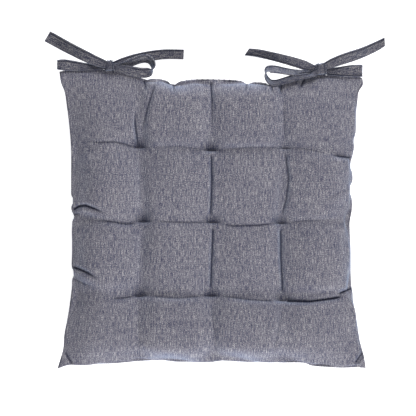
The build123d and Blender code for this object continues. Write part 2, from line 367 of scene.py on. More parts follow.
# -------- the tie tapes
TAPE_WIDTH, TAPE_THICKNESS = 14.5, 1.8
TOPSTITCH_IN = 2.4  # from the tape's folded edge
STITCH, STITCH_GAP, THREAD = 2.8, 0.7, 0.7
TAPE_STEP = 1.5  # along the tape, from one row of points to the next
CUT_ROWS = 8  # rows of points over which a slanting end is slanted
PLEAT_TURN, PLEAT_DEPTH = 1.7, 1.6  # radians of a gathered tape's folds to a millimetre, and size
HINGE_Y = frame["joints"][0]["pos_m"][1] / MM
ALONG_X, ALONG_Y, TO_FRONT = (1, 0, 0), (0, 1, 0), (0, -1, 0)
LEFT_RISE, LEFT_FAR, LEFT_RETURN = (0, -0.72, -0.69), (-0.3, -0.6, -0.74), (0, -0.9, -0.43)
RIGHT_RISE, RIGHT_FAR, RIGHT_RETURN = (0, 0.65, -0.76), (0.1, 0.72, -0.68), (0, 0.85, -0.53)
RIGHT_BEND, DOWN_FRONT = (0.1, 0.55, -0.83), (0, -1, -0.35)
# Each route is in stretches: the direction of the tape's width, then points of (x, y, z, share of
# its full width that it is gathered to). Each starts at the hinge and goes through the knot.
LEFT_CORE = [
    (ALONG_X, (-137, 200.6, 19.2, 0.9), (-137, 203, 19.2, 0.7)),
    ((0.7, 0.7, 0), (-137, 205.5, 18.6, 0.5)),
    (ALONG_Y, (-141, 205, 17.6, 0.5), (-151, 204, 16.6, 0.55), (-167, 204, 16.2, 0.7),
     (-187, 206.2, 16.2, 0.95), (-201, 207.4, 16.4, 1.02), (-207, 207.2, 17.8, 0.88),
     (-206.5, 206.6, 21.2, 0.88), (-199, 206.8, 22.2, 1.06), (-181, 205, 22, 0.88),
     (-161, 203.2, 21.8, 0.6), (-149, 203.8, 21.6, 0.52), (-138, 206, 20.2, 0.5),
     (-130, 207.5, 18.4, 0.6), (-120, 210.5, 15, 0.85), (-105, 214.5, 9.5, 1), (-88, 219, 4.5, 0.97),
     (-70, 222, 1.8, 0.93), (-55, 222.7, 1.3, 0.92), (-38.5, 222, 1.3, 0.92)),
]
LEFT_WRAP = [
    (ALONG_X, (-137, 200.6, 20.9, 0.9), (-137, 203, 21.8, 0.7)),
    ((0.7, -0.7, 0), (-136.5, 205.5, 23.4, 0.5)),
    (TO_FRONT, (-132, 205, 24.4, 0.5)),
    ((0, -0.9, -0.43), (-125, 204, 24.2, 0.65)),
    (LEFT_RISE, (-115, 206.5, 24.2, 0.95), (-103, 212, 24.2, 1), (-92, 215.5, 24, 1),
     (-83.5, 214, 23.8, 1)),
    (LEFT_FAR, (-78.5, 207, 23.6, 1), (-79.5, 198.5, 24.2, 1)),
    (LEFT_RETURN, (-88, 195.5, 25, 1), (-100, 196.5, 25.6, 1), (-113, 199.5, 26, 0.9)),
    ((0, -0.9, -0.43), (-125, 202.5, 26, 0.65)),
    (TO_FRONT, (-133, 205, 25.8, 0.5), (-141, 207, 25.6, 0.65), (-150, 209.5, 25.4, 0.85),
     (-163, 215, 24.6, 0.98), (-177, 222, 20.5, 1.05), (-190, 229, 11.5, 1.08), (-204, 236.8, 4, 1.08),
     (-213, 242, 1.5, 1.08), (-221.5, 246.4, 1.3, 1.08)),
]
RIGHT_CORE = [
    (ALONG_X, (144, 198.6, 19.2, 0.9), (144, 200.2, 19.2, 0.7)),
    ((0.7, -0.7, 0), (144, 202, 18.6, 0.5)),
    (TO_FRONT, (148, 199.6, 17.6, 0.55), (158, 198.2, 16.6, 0.66), (171, 198.6, 16.2, 0.84),
     (184, 199.6, 16.2, 1.02), (194, 199.4, 16.6, 1.12), (199.6, 199.2, 18, 1.12),
     (199.2, 198.4, 21.4, 1.1), (191, 198, 22.2, 1.06), (178, 197, 22, 0.9), (164, 196.8, 21.8, 0.68),
     (154, 197, 21.6, 0.62), (143, 201, 22, 0.5), (134, 202, 24.6, 0.65)),
    (DOWN_FRONT, (122, 205.8, 29.5, 0.9), (107, 210.6, 29, 0.92), (92, 215.2, 20, 0.87),
     (79, 219.2, 9.5, 0.83)),
    (TO_FRONT, (66, 222.7, 2.8, 0.77), (56, 224.6, 1.4, 0.73), (46, 225.4, 1.3, 0.69)),
]
RIGHT_WRAP = [
    (ALONG_X, (144, 198.6, 20.9, 0.9), (144, 200.2, 21.6, 0.7)),
    ((0.7, 0.7, 0), (143, 201.5, 22.6, 0.5)),
    (ALONG_Y, (138, 200, 22.8, 0.5)),
    ((0, 0.6, -0.8), (129, 196.5, 23, 0.7)),
    (RIGHT_RISE, (114, 195.8, 23, 0.95), (98, 198, 23, 1)),
    (RIGHT_FAR, (84, 200.8, 23, 1), (72.5, 201, 23.4, 1)),
    (RIGHT_BEND, (70.5, 192.5, 24, 1), (75.5, 183.5, 25, 0.9)),
    (RIGHT_RETURN, (84, 181.5, 26.4, 0.66), (101, 187.5, 28, 0.66), (118, 191.6, 27.6, 0.7)),
    ((0, 0.6, -0.8), (131, 193.5, 26.4, 0.8)),
    (ALONG_Y, (139, 197.5, 25.4, 0.6), (149, 204.5, 25.6, 0.6), (158, 208.3, 25.4, 0.85),
     (172, 213.7, 24.6, 0.96), (186, 218.4, 20.5, 0.98), (199, 223.2, 11.5, 0.95), (212, 229, 4, 0.9),
     (222, 234, 1.5, 0.83), (231.2, 239, 1.3, 0.74)),
]


def spline_line(name, points):
    """The smooth line of a route: the points of a NURBS spline with these control points."""
    curve = bpy.data.curves.new(name, "CURVE")
    curve.dimensions = "3D"
    curve.resolution_u = 12
    spline = curve.splines.new("NURBS")
    spline.points.add(len(points) - 1)
    for knot, point in zip(spline.points, points):
        knot.co = (*(c * MM for c in point), 1)
    spline.order_u = 3
    spline.use_endpoint_u = True
    thing = link(name, curve)
    mesh = bpy.data.meshes.new_from_object(thing)
    line = np.array([p.co[:] for p in mesh.vertices]) / MM
    bpy.data.objects.remove(thing)
    bpy.data.meshes.remove(mesh)
    return line


def strip_directions(line, across):
    """Directions across a line made square to it, and the normals of the strip they span."""
    ahead = unit(np.gradient(line, axis=0))
    across = unit(across - (across * ahead).sum(axis=1, keepdims=True) * ahead)
    return across, np.cross(across, ahead)


def route_frames(name, route):
    """Along a tape's route: the run, the middle line, the width's direction, the normal, the share."""
    points, across, shares = zip(*((p[:3], way, p[3]) for way, *stretch in route for p in stretch))
    line = spline_line(name, points)
    # A control point of an order 3 spline pulls most at the middle of its own span.
    own = np.clip(np.arange(len(points)) - 0.5, 0, len(points) - 2)
    place = np.linspace(0, len(points) - 2, len(line))
    across, shares = rows_at(place, own, across), np.interp(place, own, shares)[:, None]
    run = run_along(line)
    at = np.linspace(0, run[-1], max(3, round(run[-1] / TAPE_STEP) + 1))
    line, across, shares = (rows_at(at, run, table) for table in (line, across, shares))
    return at, line, *strip_directions(line, across), shares[:, 0]


def tape_section(stitched):
    """The tape's outline across: a flat folded strip with round folds and a groove along its
    stitched edge, which is the edge that the across direction points to, or the other for -1."""
    half, thick = TAPE_WIDTH / 2, TAPE_THICKNESS / 2
    groove = half - TOPSTITCH_IN
    upper = [
        (-half, 0.0), (-half + 0.25, 0.65), (-half + 0.9, 1.0), (-groove, 0.86), (-2.5, 0.8),
        (2.5, 0.8), (groove - 1.2, 0.95), (groove - 0.4, 0.35), (groove + 0.4, 0.35),
        (groove + 1.0, 1.0),
        (half - 0.9, 1.1), (half - 0.25, 0.7), (half, 0.0),
    ]
    upper = [(w, h * thick) for w, h in upper]
    section = np.array(upper + [(w, -h) for w, h in upper[-2:0:-1]])
    return section if stitched > 0 else section[::-1] * (-1, 1)


def pleats(wide, gathered):
    """How far the folds of a gathered tape lift it, this far from its middle line."""
    return np.sin(wide * PLEAT_TURN) * gathered * PLEAT_DEPTH


def tape_strip(run, line, across, normal, shares, cut=0.0, rough=0.0, stitched=1):
    """Points, faces, cloth places and painted shade of a tape along a line. Cut slants its last end,
    and rough cups it in slow waves."""
    section = tape_section(stitched)
    wide, high = section[:, 0], section[:, 1]
    gathered = 1 - np.clip(shares, 0, 1)
    lift = pleats(wide[None], gathered[:, None])
    cup = rough * np.sin(run / 9.0)[:, None] * (wide[None] / TAPE_WIDTH) ** 2 * 4
    ahead = np.cross(normal, across)
    slant = np.clip(np.arange(CUT_ROWS - len(run), CUT_ROWS) / (CUT_ROWS - 1), 0, 1)[:, None]
    points = (
        line[:, None]
        + across[:, None] * (wide[None] * shares[:, None])[..., None]
        + normal[:, None] * (high[None] + lift + cup)[..., None]
        + ahead[:, None] * (slant * wide[None] * cut)[..., None]
    )
    rows, columns = points.shape[:2]
    faces = grid_faces(rows, columns).tolist()
    index = np.arange(rows * columns).reshape(rows, columns)
    faces += np.stack([index[:-1, -1], index[:-1, 0], index[1:, 0], index[1:, -1]], axis=-1).tolist()
    faces += [index[0, ::-1].tolist(), index[-1].tolist()]
    cloth = np.dstack(np.meshgrid(run_along(section), run))
    # Painted shade along the topstitch groove and in the folds of the gathered tape.
    in_groove = np.abs(stitched * wide - (TAPE_WIDTH / 2 - TOPSTITCH_IN)) < 0.5
    painted_shade = np.clip(0.8 * in_groove[None] + 0.9 * gathered[:, None], 0, DARKEST_PAINTED_SHADE)
    return points.reshape(-1, 3), faces, cloth.reshape(-1, 2), painted_shade.ravel()


def joined(parts):
    """Several (points, faces, cloth places, painted shades) as one."""
    points, face_lists, places, painted_shades = zip(*parts)
    starts = np.cumsum([0, *map(len, points)])
    faces = [[index + start for index in face] for start, part in zip(starts, face_lists) for face in part]
    return np.vstack(points), faces, np.vstack(places), np.concatenate(painted_shades)


def tube(line, radius, sides=6, closed=False):
    """A round thread along a line, in the same four parts as a tape."""
    line = np.asarray(line, dtype=float)
    ahead = np.roll(line, -1, axis=0) - np.roll(line, 1, axis=0) if closed else np.gradient(line, axis=0)
    ahead = unit(ahead)
    away = np.where(np.abs(ahead[:, 2:]) > 0.9, [[1.0, 0, 0]], [[0, 0, 1.0]])
    side = unit(np.cross(ahead, away))
    up = np.cross(side, ahead)
    turn = np.linspace(0, 2 * math.pi, sides, endpoint=False)
    ring = side[:, None] * np.cos(turn)[None, :, None] + up[:, None] * np.sin(turn)[None, :, None]
    points = line[:, None] + radius * ring
    rows = len(line)
    index = np.arange(rows * sides).reshape(rows, sides)
    index = np.concatenate([index, index[:, :1]], axis=1)
    if closed:
        index = np.concatenate([index, index[:1]])
    quads = np.stack([index[:-1, :-1], index[1:, :-1], index[1:, 1:], index[:-1, 1:]], axis=-1)
    faces = quads.reshape(-1, 4).tolist()
    if not closed:
        faces += [index[0, :-1].tolist(), index[-1, -2::-1].tolist()]
    return points.reshape(-1, 3), faces, np.zeros((rows * sides, 2)), np.zeros(rows * sides)


def dashes(run, line, across, normal, shares, stitched):
    """The topstitching of a tape: short stitches in its groove, on both faces."""
    parts = []
    reach = stitched * (TAPE_WIDTH / 2 - TOPSTITCH_IN)
    lift = 0.5 * TAPE_THICKNESS / 2 + np.array([-0.35, 0.12, 0.2, 0.12, -0.35])[:, None]
    for start in np.arange(2.0, run[-1] - 4, STITCH + STITCH_GAP):
        at = np.linspace(start, start + STITCH, len(lift))
        middle = rows_at(at, run, line + across * reach * shares[:, None])
        outward = rows_at(at, run, normal)
        pleat = pleats(reach, 1 - np.clip(np.interp(at, run, shares), 0, 1))[:, None]
        for face in (1, -1):
            stitch = middle + outward * face * lift + outward * pleat
            parts.append(tube(stitch, THREAD / 2, sides=5))
    return joined(parts)


def put(name, part, material, slot, body, *nodes):
    """A piece with its material and what it rides on and replaces. Its finish's name, slot, is not used.
    """
    points, faces, places, painted_shades = part
    thing = mesh_object(name, points, faces)
    set_uv(thing, places)
    set_attribute(thing, "painted_shade", painted_shades)
    thing.data.materials.append(material)
    if body:
        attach(thing, body)
    if nodes:
        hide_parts(*nodes)
    return thing


def knot_wrap(centre, width, depth, height, slant):
    """The turn of the wrapping tape round the knot, as a ring round the knot's long axis."""
    turn = np.linspace(0, 2 * math.pi, 41)
    squarish = 1 / (np.abs(np.cos(turn)) ** 3 + np.abs(np.sin(turn)) ** 3) ** (1 / 3)
    line = np.column_stack([
        centre[0] + slant * np.sin(turn),
        centre[1] + depth / 2 * np.cos(turn) * squarish,
        centre[2] + height / 2 * np.sin(turn) * squarish,
    ])
    across, normal = strip_directions(line, np.tile([[1.0, 0.12, 0.0]], (len(turn), 1)))
    shares = width / TAPE_WIDTH * (0.86 - 0.22 * np.cos(turn - 0.5))
    return tape_strip(run_along(line), line, across, normal, shares)


def tie_bow(side, x, root_y, tapes, knot):
    """One bow: its two tapes, its knot, and the tapes' sewn root, which starts at root_y, inside
    the edge seam. Each tape is its route, its length, the slant of its cut end and the edge that
    is stitched."""
    body = f"{side}_bow"
    root_points = ((x, y, SEAM_HEIGHT, 0.97) for y in (root_y, root_y + 5, HINGE_Y + 0.8))
    run, line, *directions = route_frames(f"{side}_root_line", [(ALONG_X, *root_points)])
    layers = [tape_strip(run, line + (0, 0, k * TAPE_THICKNESS / 2), *directions) for k in (1, -1)]
    root = joined(layers)
    root = put(f"{side}_tie_tapes_root", root, TAPE_CLOTH, "tape_cloth", None, f"{side}_tie_root")
    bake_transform(root)
    for kind, (route, length, cut, stitched) in tapes.items():
        frames = route_frames(f"{side}_{kind}_line", route)
        part = tape_strip(*frames, cut=cut, rough=0.15, stitched=stitched)
        if kind == "wrap":
            part = joined([part, knot_wrap(*knot)])
        node_name = f"{side}_bow_{kind}_tape"
        tape = put(f"{side}_{kind}_tape", part, TAPE_CLOTH, "tape_cloth", body, node_name)
        stitches = dashes(*frames, stitched)
        put(f"{side}_{kind}_topstitch", stitches, SEWING_THREAD, "sewing_thread", body)
        line = frames[1]


# (centre, width, depth, height, slant) of each knot's outer turn
LEFT_KNOT = ((-137, 206, 21.2), 11.0, 12.5, 11.5, 0.8)
RIGHT_KNOT = ((144, 201.3, 21.2), 15.0, 13.5, 11.5, 1.6)
# (route, length in metres from root to cut end, slant of the cut, stitched edge) of each tape
LEFT_TAPES = {"core": (LEFT_CORE, 0.25, 0.0, 1), "wrap": (LEFT_WRAP, 0.24, 0.05, -1)}
RIGHT_TAPES = {"core": (RIGHT_CORE, 0.23, 0.4, 1), "wrap": (RIGHT_WRAP, 0.27, 0.35, 1)}
tie_bow("left", -137, 189.0, LEFT_TAPES, LEFT_KNOT)
tie_bow("right", 144, 191.6, RIGHT_TAPES, RIGHT_KNOT)


# -------- the stuffed cover
# The seam's line, seen from above, each side from corner to corner, gathered at its notches
FRONT_EDGE = [
    (-207, -198.5), (-192, -193.5), (-170, -192), (-140, -191.5), (-118, -190), (-96, -188),
    (-68, -187), (-48, -189), (-25, -189), (-8, -187.5), (8, -185), (22, -187.5),
    (48, -189.5), (62, -189), (75, -188), (88, -190), (112, -190), (124, -191),
    (131, -194), (145, -195.5), (172, -197), (190, -196.5), (204.5, -197.5),
]
RIGHT_EDGE = [
    (204.5, -197.5), (201.8, -181), (196.5, -161), (193.3, -140), (189.7, -120), (186.3, -99),
    (184.5, -77), (184.2, -40), (183, -10), (183.3, 0), (185.9, 14), (185.8, 28), (182.3, 41),
    (186.5, 52), (186.3, 63), (183.1, 73), (186.5, 85), (188.8, 97), (188.3, 107), (191, 117),
    (191.5, 140), (193.5, 160), (195, 171), (200.6, 180.5), (200, 189),
]
BACK_EDGE = [
    (-204.5, 198), (-192, 199.5), (-175, 199.8), (-155, 200.2), (-137, 200.6), (-124, 199.6),
    (-110, 196.5), (-98, 192), (-91, 184.5), (-84, 188), (-70, 188), (-59, 184.5),
    (-53, 178.5), (-45, 184), (-30, 187), (-10, 187.8), (12, 187.3), (30, 186.5), (41, 184.5),
    (46, 180.5), (53, 183.5), (64, 183.5), (74, 181), (79, 176.5), (86, 179.5), (95, 184),
    (104, 188), (115, 191.5), (135, 193), (155, 193), (178, 192.5), (192, 192), (200, 189),
]
LEFT_EDGE = [
    (-207, -198.5), (-202.5, -184), (-199, -171), (-197.5, -152), (-193.5, -131), (-190, -109),
    (-187.5, -88), (-187.2, -79), (-183.8, -70.5), (-187.8, -62.5), (-187.5, -45), (-187.3, -10),
    (-187.2, -2), (-184.7, 4.5), (-188.2, 13.5), (-187.8, 19.5), (-184.2, 26), (-188.3, 33),
    (-188.6, 48), (-188.7, 93), (-191, 125), (-194.3, 152), (-197, 170), (-202, 183),
    (-204.5, 198),
]
# Where the tuft stitches hold the cover down: rows from the front, columns from the left
TUFTS = [
    [(-97, -101), (-1, -101), (93, -107)],
    [(-92, -2), (0, -3), (91, -4)],
    [(-97, 97), (-2, 93), (97, 96)],
]
# Painted shade in the tufts' dimples: how strong it is at each tuft, rows from the front.
TUFT_SHADE = [[0.85, 0.9, 0.5], [0.95, 0.95, 0.9], [1.0, 1.0, 0.3]]  # how dark each hollow looks
CUT_HALF = 214.0  # half the side of the panels as cut, inside the seam allowance
CUT_TUFT_PITCH = 101.5
FINE = 3  # cells of the finished cover to one of the simulated one
TUFT_DEPTH_HELD = 5.0  # how far above and below the seam's level the tuft stitches hold the cloth
SIM_CELLS, SIM_FRAMES, SEWN_BY = 100, 36, 14
PRESSURE, FLAT_GAP = 30.0, 1.5
# (share of the way, height above the seam's level, firmness): from an outer tuft to
# the edge, then between two tufts
HELD_LOW = [
    [(0.30, 10.5, 0.5), (0.60, 12.0, 0.4), (0.85, 7.0, 0.4)],
    [(0.5, 9.5, 0.5)],
]
FILLING_INSET = 2.5
TOP_LIMIT, BOTTOM_LIMIT = (14.0, 22.0), (13.0, 19.6)
FLATTEN, CORNER_SMOOTHING = 0.72, 60
PAST_TUFTS, OFF_EDGE = (4, 22), (6, 24)  # where the corners' smoothing sets in
SOFTENING, SOFTENING_PASSES, LOOSE_FROM_EDGE = 0.4, 9, (5, 26)
EDGE_ROLLS = ((0, 0.72, 26.0), (1, 0.5, 18.0))  # how much flatter the left and front edges roll
VALLEY, VALLEY_HALF = (1.0, 2.4), 13  # between the tufts, and from the outer ones to the edge
PULLED_BY_TUFT, HELD_BY_TUFT, HELD_BY_SPOT = 42, 12, 8  # how far each hold on the cloth reaches
PUFF, PUFF_FROM_EDGE = 13, 70
TUFT_DIP, TUFT_LIP, GATHER = 3.0, 1.2, 0.7
TUFT_HALF, DIP_BEHIND, DIP_BEFORE = 10.5, 7.5, 2.0
LIP_HALF, LIP_BEFORE, LIP_WIDTH = 12, 5.5, 3.2
SAG, SAG_BEHIND, SAG_WIDTH = 1.6, 3, 4
# Painted shade: how far it reaches behind and before a tuft stitch; then how dark it is at the tufts and
# along the creases, and the half width of a crease's dark line.
DARK_BEHIND, DARK_BEFORE = 9.5, 0.8
TUFT_PAINTED_SHADE, CREASE_PAINTED_SHADE, CREASE_LINE = 0.92, 0.36, 1.25
TUFT_THREAD, TUFT_STITCH = 1.2, 7.0
SEAM_THREAD, SEAM_THREAD_IN = 0.5, 1.6
CLOSED_BETWEEN, CLOSING_STITCHES = (-42, 71), 17
WHIP_ALONG, WHIP_ACROSS, WHIP_HIGH = 1.6, 1.2, 1.5
# Creases of the top panel: depth, half width, shares over which start and end fade, route
CREASES = [
    # between the tufts, up and down
    (3.2, 1.5, 0.1, 0.1, (-1.5, 88), (-1, 50), (-2.7, 4)),
    (3.0, 1.5, 0.1, 0.1, (0.7, -8), (-1, -50), (-2.5, -92)),
    (2.2, 1.6, 0.1, 0.1, (97, 90), (101, 55), (98, 28), (92, 5)),
    (3.2, 1.6, 0.1, 0.1, (91, -9), (91, -50), (93.5, -98)),
    (0.5, 3.0, 0.2, 0.2, (-97, 88), (-96, 45), (-93, 6)),
    (0.5, 3.0, 0.2, 0.2, (-93, -10), (-96, -50), (-97, -92)),
    # between the tufts, from side to side
    (0.8, 2.6, 0.2, 0.2, (-85, 97), (-45, 98), (-12, 94)),
    (1.0, 2.2, 0.3, 0.1, (10, 94), (55, 97), (88, 97)),
    (1.5, 2.2, 0.3, 0.1, (-82, -2), (-45, -3), (-10, -3)),
    (2.0, 2.6, 0.2, 0.2, (12, -4), (26, -8), (60, -7), (84, -4)),
    (1.5, 2.2, 0.2, 0.2, (-86, -101), (-45, -104), (-12, -101)),
    (1.8, 2.0, 0.3, 0.1, (10, -101), (50, -106), (82, -108)),
    # from the outer tufts on to the edge
    (3.2, 1.6, 0.05, 0.6, (-99, 100), (-101, 112), (-103, 128), (-102, 150)),
    (2.2, 1.9, 0.5, 0.2, (-95, 112), (-86, 150), (-75, 184)),
    (2.5, 1.7, 0.05, 0.8, (-2, 184), (-1.5, 170), (-0.7, 158), (-1, 112)),
    (1.2, 2.6, 0.1, 0.4, (97, 106), (95, 140), (96, 172)),
    (2.0, 2.0, 0.1, 0.4, (-104, 97), (-116, 101), (-130, 104), (-150, 103), (-172, 105)),
    (2.0, 2.2, 0.1, 0.4, (-102, -4.5), (-116, -5.5), (-130, -3), (-156, 0.5)),
    (4.4, 1.7, 0.05, 0.5, (-186, 13.5), (-177, 18.5), (-168, 19.2), (-156, 15), (-141, 8)),
    (1.8, 1.6, 0.05, 0.5, (-187, 6), (-181, 8), (-175, 8.5)),
    (1.8, 2.2, 0.1, 0.5, (-106, -102), (-120, -104), (-140, -104)),
    (4.0, 1.7, 0.05, 0.5, (-186, -62.5), (-177, -65.5), (-166, -70), (-151, -79)),
    (1.4, 2.4, 0.05, 0.6, (-186, -78), (-170, -85), (-150, -91)),
    (0.9, 2.8, 0.1, 0.4, (107, 97), (128, 94), (154, 87)),
    (2.6, 1.9, 0.4, 0.05, (158, 86.5), (168, 84.5), (183, 83)),
    (1.2, 2.4, 0.1, 0.6, (101, -3), (120, -1), (165, 1)),
    (0.9, 2.8, 0.05, 0.6, (182, 41), (168, 36), (140, 20)),
    (4.2, 1.8, 0.05, 0.2, (98, -108), (130, -108.5), (163, -104), (176, -101)),
    (3.0, 1.8, 0.4, 0.05, (164, -99), (175, -95), (186, -91)),
    (0.5, 2.6, 0.1, 0.3, (-97, -112), (-98, -140), (-96, -182)),
    (0.8, 2.6, 0.1, 0.3, (-1, -112), (2, -140), (6, -184)),
    (0.8, 2.6, 0.1, 0.3, (93, -118), (88, -145), (80, -184)),
    # across the dog ears of the front corners
    (3.0, 1.5, 0.05, 0.1, (-196, -176), (-192, -184.5), (-186.5, -192)),
    (2.6, 1.3, 0.05, 0.1, (199.5, -176.5), (195.5, -182.5), (190.5, -190)),
    (1.6, 1.2, 0.05, 0.1, (202.5, -179), (198, -186), (194, -191)),
    # puckers at the back edge
    (2.2, 1.8, 0.05, 0.5, (91.5, 182), (90.8, 166)),
    (2.2, 1.8, 0.05, 0.5, (123, 188.5), (119.5, 181), (115, 172)),
    (2.0, 2.0, 0.05, 0.7, (79, 178), (80, 164)),
    (2.0, 2.0, 0.05, 0.7, (46, 182), (44, 166)),
    (2.2, 2.0, 0.05, 0.7, (-52, 182), (-50, 165)),
    (2.2, 2.0, 0.05, 0.7, (-91, 186), (-88, 170)),
]


def grid_lines():
    """Distances of the grid's lines along a panel's side, closer together at the tufts and seams."""
    fine = np.linspace(-CUT_HALF, CUT_HALF, 4001)
    density = np.ones_like(fine)
    for centre in (-CUT_TUFT_PITCH, 0, CUT_TUFT_PITCH):
        density += 0.9 * bell(fine - centre, 9)
    density += 0.6 * np.exp(-((CUT_HALF - np.abs(fine)) / 10))
    count = np.concatenate([[0], np.cumsum((density[1:] + density[:-1]) / 2)])
    return np.interp(np.linspace(0, count[-1], SIM_CELLS + 1), count, fine)


def rounded_curve(points, shares):
    """Points at shares of the length of a smooth curve through the given points."""
    p = np.array(points, dtype=float)
    p = np.vstack([2 * p[0] - p[1], p, 2 * p[-1] - p[-2]])
    t = np.linspace(0, 1, 13)[:-1, None]
    curve = [curve_between(*p[i : i + 4], t) for i in range(len(p) - 3)]
    curve = np.vstack([*curve, p[-2:-1]])
    run = run_along(curve)
    return rows_at(shares * run[-1], run, curve)


def cut_tufts():
    """Each tuft's place in plan, and its place on the cut panel."""
    for row, places in zip((-1, 0, 1), TUFTS):
        for column, place in zip((-1, 0, 1), places):
            yield place, column * CUT_TUFT_PITCH, row * CUT_TUFT_PITCH


def grid_place(lines, u0, v0):
    """Row and column of the grid's point nearest to a place on the cut panel."""
    return np.abs(lines - v0).argmin(), np.abs(lines - u0).argmin()


def spot(u, v, u0, v0, width):
    """1 at a place on the cut panel, fading round it."""
    return np.exp(-((u - u0) ** 2 + (v - v0) ** 2) / (2 * width**2))


def pad_plan(lines):
    """Where each point of the cut panel lies in plan, once sewn, gathered and tufted."""
    share = (lines + CUT_HALF) / (2 * CUT_HALF)
    front, back = rounded_curve(FRONT_EDGE, share), rounded_curve(BACK_EDGE, share)
    left, right = rounded_curve(LEFT_EDGE, share), rounded_curve(RIGHT_EDGE, share)
    s, t = share[None, :, None], share[:, None, None]
    plan = (1 - t) * front[None] + t * back[None] + (1 - s) * left[:, None] + s * right[:, None]
    plan = plan - (
        (1 - s) * (1 - t) * front[0] + s * (1 - t) * front[-1] + (1 - s) * t * back[0] + s * t * back[-1]
    )
    # Pull the cloth about each tuft to where that tuft is.
    u, v = np.meshgrid(lines, lines)
    shift, weights = np.zeros_like(plan), np.zeros(plan.shape[:2])
    edge = CUT_HALF - np.maximum(np.abs(u), np.abs(v))
    for place, u0, v0 in cut_tufts():
        near = spot(u, v, u0, v0, PULLED_BY_TUFT)
        shift += near[..., None] * (np.array(place) - plan[grid_place(lines, u0, v0)])
        weights += near
    return plan + shift / np.maximum(weights, 1)[..., None] * smooth_step(edge, 0, 60)[..., None]


def simulate_pad(lines):
    """The top and bottom of the cover after stuffing: two grids of points, in millimetres."""
    n = SIM_CELLS + 1
    plan = pad_plan(lines)
    u, v = np.meshgrid(lines, lines)
    edge = CUT_HALF - np.maximum(np.abs(u), np.abs(v))
    puff = PUFF * np.sqrt(np.clip(edge / PUFF_FROM_EDGE, 0, 1))
    pins = {}
    for _, u0, v0 in cut_tufts():
        near = spot(u, v, u0, v0, HELD_BY_TUFT)
        puff = puff * (1 - near) + TUFT_DEPTH_HELD * near
        i, j = grid_place(lines, u0, v0)
        pins.update({(i, j + k): 1.0 for k in (-1, 0, 1)})
    # The filling is packed cell by cell, so the cloth also lies lower between the tufts and
    # on from the outer ones to the edge.
    for line in (-1, 0, 1):
        for step in range(-2, 2):
            for along, height, weight in HELD_LOW[0 if step in (-2, 1) else 1]:
                far = step + (1 - along if step == -2 else along)
                reach = far * CUT_TUFT_PITCH
                if abs(far) > 1:
                    outer = (abs(far) - 1) * (CUT_HALF - CUT_TUFT_PITCH) + CUT_TUFT_PITCH
                    reach = math.copysign(outer, far)
                for u0, v0 in ((reach, line * CUT_TUFT_PITCH), (line * CUT_TUFT_PITCH, reach)):
                    near = spot(u, v, u0, v0, HELD_BY_SPOT)
                    puff = puff * (1 - near) + height * near
                    pins[grid_place(lines, u0, v0)] = weight
    ring = np.zeros((n, n), dtype=bool)
    ring[[0, -1], :] = ring[:, [0, -1]] = True
    gather = 1.2 * np.sin(u / 6.5) * np.sin(v / 7.5 + 1) + 0.8 * np.sin((u + v) / 11)
    top = np.dstack([plan, np.where(ring, gather, puff)])
    bottom = np.dstack([plan, np.where(ring, gather, -puff)])

    inner = np.flatnonzero(~ring.ravel())
    bottom_index = np.arange(n * n)
    bottom_index[inner] = n * n + np.arange(len(inner))
    sewn = np.vstack([top.reshape(-1, 3), bottom.reshape(-1, 3)[inner]])
    flat = np.dstack([u, v, np.where(ring, 0, FLAT_GAP)]).reshape(-1, 3)
    cut = np.vstack([flat, flat[inner] * (1, 1, -1)])
    faces = np.vstack([grid_faces(n, n), bottom_index[grid_faces(n, n, flip=True)]])
    dummy = mesh_object("pad_in_the_making", cut, faces)

    group = dummy.vertex_groups.new(name="held")
    group.add(np.flatnonzero(ring.ravel()).tolist(), 1.0, "REPLACE")
    for (i, j), weight in pins.items():
        group.add([int(i * n + j), int(bottom_index[i * n + j])], weight, "REPLACE")
    dummy.shape_key_add(name="Basis")
    sewn_key = dummy.shape_key_add(name="sewn")
    sewn_key.data.foreach_set("co", (sewn * MM).astype(np.float32).ravel())
    for frame_number, value in ((1, 0.0), (SEWN_BY, 1.0)):
        sewn_key.value = value
        sewn_key.keyframe_insert("value", frame=frame_number)

    cloth = dummy.modifiers.new("cloth", "CLOTH")
    settings = cloth.settings
    settings.quality = 6
    settings.mass = 0.002
    settings.tension_stiffness = 15
    settings.compression_stiffness = 8
    settings.shear_stiffness = 4
    settings.bending_stiffness = 0.003
    settings.tension_damping = settings.compression_damping = settings.shear_damping = 2
    settings.air_damping = 1
    settings.use_pressure = True
    settings.uniform_pressure_force = PRESSURE
    settings.vertex_group_mass = "held"
    settings.effector_weights.gravity = 0
    cloth.point_cache.frame_start, cloth.point_cache.frame_end = 1, SIM_FRAMES
    scene = bpy.context.scene
    for step in range(1, SIM_FRAMES + 1):
        scene.frame_set(step)
    made = dummy.evaluated_get(bpy.context.evaluated_depsgraph_get()).to_mesh()
    moved = np.empty(len(sewn) * 3, dtype=np.float32)
    made.vertices.foreach_get("co", moved)
    moved = moved.reshape(-1, 3) / MM
    scene.frame_set(1)
    bpy.data.objects.remove(dummy)
    return moved[: n * n].reshape(n, n, 3), moved[bottom_index].reshape(n, n, 3)


def finer(grid, axis):
    """A grid of points with FINE times the cells along one axis, on a smooth curve."""
    p = np.moveaxis(grid, axis, 0)
    p = np.concatenate([2 * p[:1] - p[1:2], p, 2 * p[-1:] - p[-2:-1]])
    rows = [curve_between(p[:-3], p[1:-2], p[2:-1], p[3:], step / FINE) for step in range(FINE)]
    body = np.stack(rows, axis=1).reshape(-1, *p.shape[1:])
    return np.moveaxis(np.concatenate([body, p[-2:-1]]), 0, axis)


def limited(height, free, most):
    """Heights up to free as they are, and higher ones pressed towards most."""
    room = most - free
    return np.where(height > free, free + room * np.tanh((height - free) / room), height)


